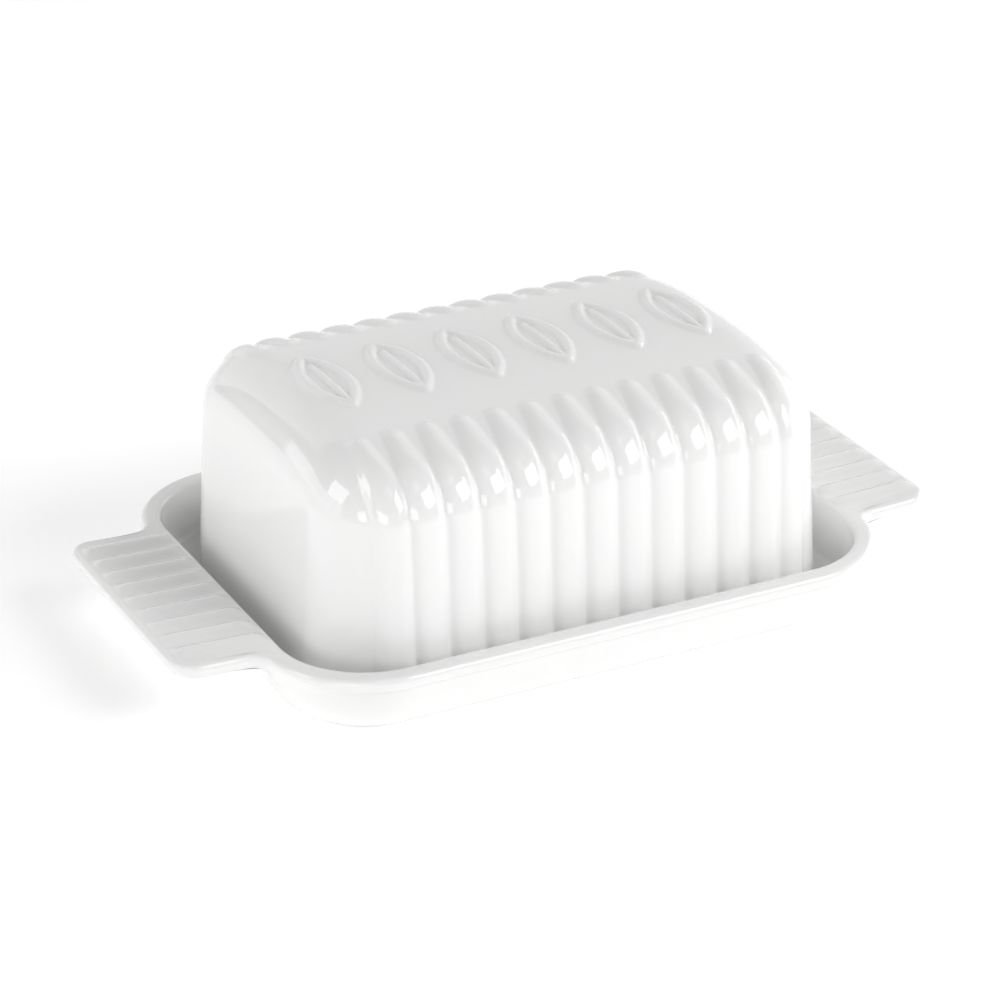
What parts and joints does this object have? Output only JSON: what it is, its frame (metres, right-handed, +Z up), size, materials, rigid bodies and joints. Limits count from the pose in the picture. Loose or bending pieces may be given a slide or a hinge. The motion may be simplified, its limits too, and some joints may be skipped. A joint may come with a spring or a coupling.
{
  "type": "butter dish",
  "caption": "Oblong porcelain butter dish: shallow tray with ribbed tab handles and a deep lift-off lid with reeded long sides.",
  "frame": {"origin": "middle of the tray's foot, on the surface that the dish stands on", "axes": "+X runs from one handle to the other, +Y to the back of the dish, +Z up"},
  "size_m": [0.207, 0.1246, 0.0656],
  "materials": {
    "tray_glaze": "gloss",
    "lid_glaze": "gloss"
  },
  "bodies": {
    "tray": {"tray": "tray_glaze"},
    "lid": {"lid": "lid_glaze"}
  },
  "joints": [
    {"name": "lid_lift", "type": "slide", "parent": "tray", "child": "lid", "axis": [0, 0, 1], "range_m": [0, 0.1]}
  ]
}
